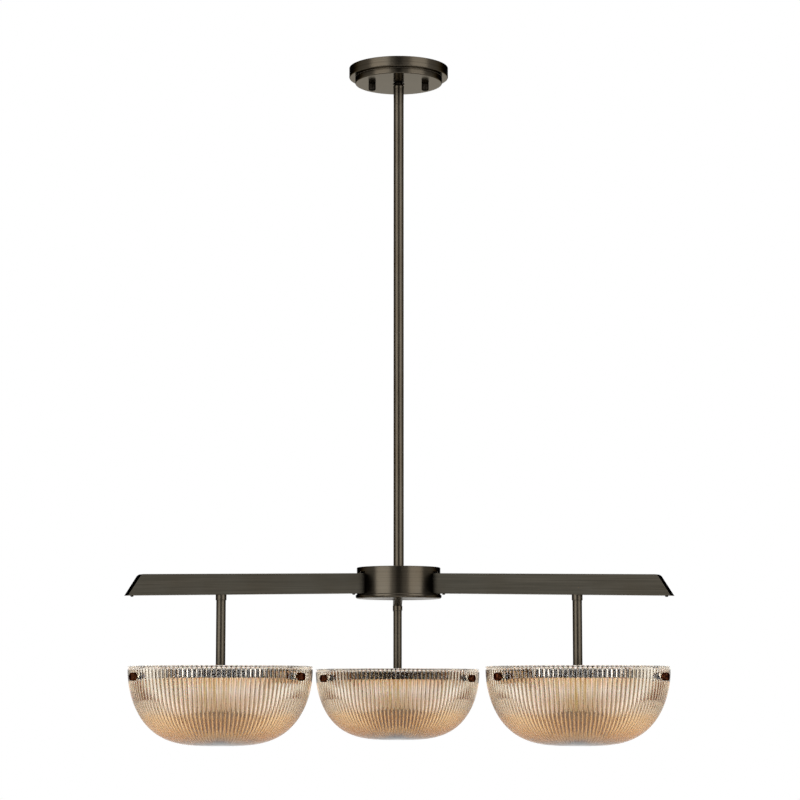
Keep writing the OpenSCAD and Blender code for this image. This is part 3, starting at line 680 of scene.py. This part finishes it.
def bowl_section(glass, radius, height, count):
    """The radius, the depth and the share of the rib's height, at even steps down a wall."""
    angles = np.radians(np.linspace(0, 90, 2000))
    across, down = 2 / glass.fullness_across, 2 / glass.fullness_down
    r = radius * np.cos(angles) ** across
    d = glass.straight + (height - glass.straight) * np.sin(angles) ** down
    r[-1] = 0.0
    walked = np.concatenate([[0], np.cumsum(np.hypot(np.diff(r), np.diff(d)))])
    steps = np.interp(np.linspace(0, walked[-1], count + 1)[:-1], walked, angles)
    return [
        (radius * math.cos(a) ** across,
         glass.straight + (height - glass.straight) * math.sin(a) ** down,
         math.sqrt(max(math.cos(a), 0.0)))
        for a in steps
    ]


def ribbed_bowl(glass, radius, height):
    """One closed mesh: half-round ribs outside, domed at their tops under a plain rim band, that
    run together at the bottom, a smooth wall inside, and a rounded rim."""
    columns = glass.ribs * len(RIB_COLUMNS)
    turn = np.add.outer(np.arange(glass.ribs) * 2, RIB_COLUMNS).ravel() * math.pi / glass.ribs
    across_rib = np.abs(np.tile(RIB_COLUMNS, glass.ribs))
    half_pitch = math.pi * radius / glass.ribs
    rib_r = (half_pitch**2 + glass.rib_depth**2) / (2 * glass.rib_depth)

    def hollow(across):
        """Depth of the surface under the crests: 0 at the middle of a rib, and the rib's height
        in a valley."""
        return rib_r - np.sqrt(rib_r**2 - (np.minimum(across, 1) * half_pitch) ** 2)

    # each row is its radius at every column, and its height under the rim, from the bottom up; the
    # ribs run out over the middle third of the bowl
    valleys = hollow(across_rib)
    rows = [
        (r - valleys * share * min(r / radius * 3, 1), -d)
        for r, d, share in reversed(bowl_section(glass, radius, height, OUTER_ROWS))]
    edge, band = glass.rim_round, glass.rim_band
    for share in RIB_END_ROWS:
        rows.append(
            (radius - hollow(np.hypot(across_rib, 1 - share)), -band - glass.rib_end * share))
    # between the ribs the rim band ends in a short slope, a fifth of their height at each turn
    even = np.zeros(columns)
    deep, step = radius - glass.rib_depth, glass.rib_depth / 5
    rows += [
        (even + deep, -band - step / 4), (even + deep + step, -band),
        (even + radius - step, -band), (even + radius, -band + step)]
    for bend in np.radians(RIM_BENDS):
        rows.append((even + radius - edge * (1 - math.cos(bend)), -edge * (1 - math.sin(bend))))
    inner_r = radius - (glass.rib_depth + glass.wall)
    inner_h = height - glass.bottom
    for bend in np.radians(RIM_BENDS[::-1]):
        rows.append((even + inner_r + edge * (1 - math.cos(bend)), -edge * (1 - math.sin(bend))))
    rows.append((even + inner_r, -glass.straight / 2))
    rows += [(even + r, -d) for r, d, _ in bowl_section(glass, inner_r, inner_h, INNER_ROWS)]

    points = np.concatenate([
        np.column_stack([r * np.cos(turn), r * np.sin(turn), np.full(columns, z)])
        for r, z in rows])
    points = np.vstack([points, [[0, 0, -height], [0, 0, -inner_h]]])
    bottom, inside = len(rows) * columns, len(rows) * columns + 1
    at = np.arange(columns)
    after = (at + 1) % columns
    faces = []
    for low in range(0, bottom - columns, columns):
        high = low + columns
        faces += np.column_stack([low + at, low + after, high + after, high + at]).tolist()
    last = bottom - columns
    faces += [(bottom, int(b), int(a)) for a, b in zip(at, after)]
    faces += [(int(last + a), int(last + b), inside) for a, b in zip(at, after)]
    mesh = bpy.data.meshes.new("ribbed_bowl")
    mesh.from_pydata(points.tolist(), [], faces)
    mesh.polygons.foreach_set("use_smooth", [True] * len(mesh.polygons))
    mesh.update()
    return mesh


def bore_screw_holes(mesh, glass, radius, drop):
    """The same bowl with a round hole at each thumbscrew, this far under the rim."""
    bowl = link_object("bowl_blank", mesh)
    drills = []
    for turn in map(math.radians, SCREW_AZIMUTHS):
        bpy.ops.mesh.primitive_cylinder_add(
            vertices=40, radius=glass.screw_hole / 2, depth=radius * 0.2,
            location=(radius * math.cos(turn), radius * math.sin(turn), -drop),
            rotation=(0, math.pi / 2, turn))
        drills.append(bpy.context.object)
        cut = bowl.modifiers.new("screw_hole", "BOOLEAN")
        cut.operation, cut.solver, cut.object = "DIFFERENCE", "MANIFOLD", drills[-1]
    bored = bpy.data.meshes.new_from_object(
        bowl.evaluated_get(bpy.context.evaluated_depsgraph_get()))
    for scrap in [bowl, *drills]:
        bpy.data.objects.remove(scrap)
    return bored


class CHANDELIER_OT_ceiling_fitting(Operator):
    """Finish the canopy, its cap nuts and what it hides against the ceiling"""

    bl_idname = "chandelier.ceiling_fitting"
    bl_label = "Ceiling fitting"

    def execute(self, context):
        metals, lamps = context.scene.chandelier_metal, context.scene.chandelier_lamp
        dress(["canopy"], turned_bronze("Spun_brushed_bronze_canopy", metals, (0.8, 0.16)))
        dress(["canopy_nuts"], dark_bronze(metals))
        dress(["mounting_plate", "canopy_studs"], zinc_plated_steel())
        dress(["ground_screw"], dyed_zinc(lamps))
        return {"FINISHED"}


class CHANDELIER_OT_swivel(Operator):
    """Finish the ball joint and the bell that covers it"""

    bl_idname = "chandelier.swivel"
    bl_label = "Hang-straight swivel"

    def execute(self, context):
        metals = context.scene.chandelier_metal
        dress(["swivel_seat"], milled_aluminium())
        dress(["swivel_ball"], dark_bronze(metals))
        dress(["bell_coupling"], turned_bronze("Turned_brushed_bronze", metals))
        return {"FINISHED"}


class CHANDELIER_OT_rods(Operator):
    """Finish the two hanging rods and the nipples that join them"""

    bl_idname = "chandelier.rods"
    bl_label = "Hanging rods"

    def execute(self, context):
        dress(["upper_rod", "lower_rod"], drawn_bronze(context.scene.chandelier_metal))
        dress(["rod_nipple", "hub_nipple", "hub_locknut"], zinc_plated_steel())
        return {"FINISHED"}


class CHANDELIER_OT_hub(Operator):
    """Finish the hub drum, its plate and the core that carries the arms"""

    bl_idname = "chandelier.hub"
    bl_label = "Hub"

    def execute(self, context):
        metals = context.scene.chandelier_metal
        dress(["hub_drum", "hub_plate"],
              turned_bronze("Spun_brushed_bronze_hub", metals, (0.6, 0.25)))
        # painted shade: the core is dressed dark so that the slots round the arms stay dark
        dress(["hub_core"], dark_bronze(metals))
        return {"FINISHED"}


class CHANDELIER_OT_arms(Operator):
    """Finish the three box arms, their covers and screws"""

    bl_idname = "chandelier.arms"
    bl_label = "Arms"

    def execute(self, context):
        metals = context.scene.chandelier_metal
        for light in LIGHTS:
            turn = math.radians(ARM_AZIMUTHS[light])
            # the outer end of each bar is painted near black as shade
            dress([f"arm_{light}", f"arm_cover_{light}"], brushed_bronze(
                f"Brushed_bronze_bar_{light}", metals,
                lambda tree: lengthwise_grain(
                    tree, metals.grain_width, 90 * MM, turn, math.radians(ARM_DROOP)),
                underside=(0.7, 0.25), painted_shade_end=(math.cos(turn), math.sin(turn), 0),
                tone="a9aeb2"))
        dress(["arm_screws", "cover_screws"], dark_bronze(metals))
        return {"FINISHED"}


class CHANDELIER_OT_stems(Operator):
    """Finish the stems under the arms, their collars, nipples and nuts"""

    bl_idname = "chandelier.stems"
    bl_label = "Stems"

    def execute(self, context):
        dress([f"{kind}_{light}" for kind in ("stem", "collar") for light in LIGHTS],
              drawn_bronze(context.scene.chandelier_metal))
        dress(["stem_nipples", "channel_nuts", "holder_bolts"], zinc_plated_steel())
        return {"FINISHED"}


class CHANDELIER_OT_lamps(Operator):
    """Finish the holders, pans, light boards and opal dishes inside the bowls"""

    bl_idname = "chandelier.lamps"
    bl_label = "Lamps"

    def execute(self, context):
        metals, lamps = context.scene.chandelier_metal, context.scene.chandelier_lamp
        dress([f"{kind}_{light}" for kind in ("holder", "lamp_pan") for light in LIGHTS],
              dark_bronze(metals))
        dress([f"lamp_board_{light}" for light in LIGHTS], solder_mask(lamps))
        dress([f"diffuser_{light}" for light in LIGHTS], satin_opal(lamps))
        return {"FINISHED"}


class CHANDELIER_OT_glass_bowls(Operator):
    """Make the three ribbed glass bowls"""

    bl_idname = "chandelier.glass_bowls"
    bl_label = "Glass bowls"

    def execute(self, context):
        glass = context.scene.chandelier_glass
        low, high = (Vector(corner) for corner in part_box(f"glass_bowl_{LIGHTS[0]}"))
        screw_low, screw_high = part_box(f"thumbscrew_{LIGHTS[0]}_1")
        radius, drop = (high.x - low.x) / 2, high.z - (screw_low[2] + screw_high[2]) / 2
        blank = ribbed_bowl(glass, radius, high.z - low.z)
        mesh = bore_screw_holes(blank, glass, radius, drop)
        mesh.materials.clear()
        mesh.materials.append(amber_glass(glass))
        for light in LIGHTS:
            low, high = (Vector(corner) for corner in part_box(f"glass_bowl_{light}"))
            bowl = link_object(f"ribbed_glass_bowl_{light}", mesh)
            bowl.location = ((low.x + high.x) / 2, (low.y + high.y) / 2, high.z)
            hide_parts(f"glass_bowl_{light}")
            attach(bowl, "fixture")
        return {"FINISHED"}


class CHANDELIER_OT_thumbscrews(Operator):
    """Finish the nine thumbscrews that hold the bowls"""

    bl_idname = "chandelier.thumbscrews"
    bl_label = "Thumbscrews"

    def execute(self, context):
        dress([f"thumbscrew_{light}_{n}" for light in LIGHTS for n in (1, 2, 3)],
              oiled_brown_bronze(context.scene.chandelier_metal))
        return {"FINISHED"}


def lay_floor(studio):
    """A wide pale floor."""
    mesh = bpy.data.meshes.new("floor")
    mesh.from_pydata([
        (x * FLOOR_REACH, y * FLOOR_REACH, 0) for x, y in ((-1, -1), (1, -1), (1, 1), (-1, 1))],
        [], [(0, 1, 2, 3)])
    mesh.materials.append(pale_floor_paint(studio))
    floor = link_object("floor", mesh)
    floor.location.z = studio.floor_height


def stand_cards(name, material, azimuths, width, studio):
    """Upright cards round the room, which neither the camera nor the light on the object sees."""
    points, faces = [], []
    for azimuth in azimuths:
        first = len(points)
        for side in (-1, 1):
            turn = math.radians(azimuth + side * width / 2)
            points += [
                (CARD_RING * math.cos(turn), CARD_RING * math.sin(turn), z)
                for z in (studio.floor_height, CARD_TOP)]
        faces.append((first, first + 2, first + 3, first + 1))
    mesh = bpy.data.meshes.new(name)
    mesh.from_pydata(points, [], faces)
    mesh.materials.append(material)
    cards = link_object(name, mesh)
    cards.visible_camera = cards.visible_diffuse = cards.visible_shadow = False
    return cards


def hang_softboxes():
    """Two large soft lights in front and one above."""
    for name, place, aim, size, watts in SOFTBOXES:
        lamp = bpy.data.lights.new(name, "AREA")
        lamp.shape, (lamp.size, lamp.size_y), lamp.energy = "RECTANGLE", size, watts
        softbox = link_object(name, lamp)
        softbox.location = place
        toward = Vector(aim) - Vector(place)
        softbox.rotation_euler = toward.to_track_quat("-Z", "Y").to_euler()
        softbox.visible_camera = False


def light_room(scene, studio):
    """An even, dim room that is white where it is seen directly."""
    scene.world = bpy.data.worlds.new("white_room")
    scene.world.use_nodes = True
    tree = scene.world.node_tree
    tree.nodes.clear()
    strength = add_node(tree, "ShaderNodeMapRange", {
        "Value": shown_directly(tree), "To Min": studio.room_light, "To Max": 1.0}, "Result")
    light = add_node(tree, "ShaderNodeBackground", {
        "Color": from_hex("ffffff"), "Strength": strength}, "Background")
    add_node(tree, "ShaderNodeOutputWorld", {"Surface": light})


def set_camera(scene, studio):
    """The camera at the photograph's viewing angle."""
    camera = bpy.data.cameras.new("camera")
    camera.sensor_width, camera.lens = SENSOR_WIDTH, studio.lens
    scene.camera = link_object("camera", camera)
    scene.camera.location = CAMERA_PLACE
    scene.camera.rotation_euler = Euler(
        (math.radians(90 + CAMERA_TILT), 0, math.radians(CAMERA_TURN)))
    scene.view_settings.view_transform = "Standard"


class CHANDELIER_OT_studio(Operator):
    """Set up the pale floor, soft lamps, white background and camera"""

    bl_idname = "chandelier.studio"
    bl_label = "Studio"

    def execute(self, context):
        studio = context.scene.chandelier_studio
        lay_floor(studio)
        # only the glass shows the amber cards, as dark gold lines in its ribs
        amber = stand_cards(
            "amber_cards", amber_card(studio), AMBER_AZIMUTHS, studio.card_width, studio)
        amber.visible_glossy = False
        # only the metal shows the black flag, as the dark line down the drum and the rods
        black = stand_cards(
            "black_flag", black_velvet(), [FLAG_AZIMUTH], studio.flag_width, studio)
        black.visible_transmission = False
        hang_softboxes()
        light_room(context.scene, studio)
        set_camera(context.scene, studio)
        return {"FINISHED"}


OPERATORS = (
    CHANDELIER_OT_ceiling_fitting, CHANDELIER_OT_swivel, CHANDELIER_OT_rods, CHANDELIER_OT_hub,
    CHANDELIER_OT_arms, CHANDELIER_OT_stems, CHANDELIER_OT_lamps, CHANDELIER_OT_glass_bowls,
    CHANDELIER_OT_thumbscrews, CHANDELIER_OT_studio,
)
SETTINGS = {
    "chandelier_metal": MetalSettings, "chandelier_glass": GlassSettings,
    "chandelier_lamp": LampSettings, "chandelier_studio": StudioSettings,
}


class CHANDELIER_PT_sidebar(Panel):
    """Lists the chandelier's sizes, colours and makers"""

    bl_idname = "CHANDELIER_PT_sidebar"
    bl_label = "Chandelier"
    bl_space_type = "VIEW_3D"
    bl_region_type = "UI"
    bl_category = "Chandelier"

    def draw(self, context):
        for name, group in SETTINGS.items():
            box = self.layout.box()
            for key in group.__annotations__:
                box.prop(getattr(context.scene, name), key)
        for maker in OPERATORS:
            self.layout.operator(maker.bl_idname)


def register():
    for kind in (*SETTINGS.values(), *OPERATORS, CHANDELIER_PT_sidebar):
        bpy.utils.register_class(kind)
    for name, group in SETTINGS.items():
        setattr(bpy.types.Scene, name, PointerProperty(type=group))


def unregister():
    for name in SETTINGS:
        delattr(bpy.types.Scene, name)
    for kind in reversed((*SETTINGS.values(), *OPERATORS, CHANDELIER_PT_sidebar)):
        bpy.utils.unregister_class(kind)


def main():
    """Dresses the frame."""
    register()
    for maker in OPERATORS:
        getattr(bpy.ops.chandelier, maker.bl_idname.split(".")[1])()


if __name__ == "__main__":
    main()
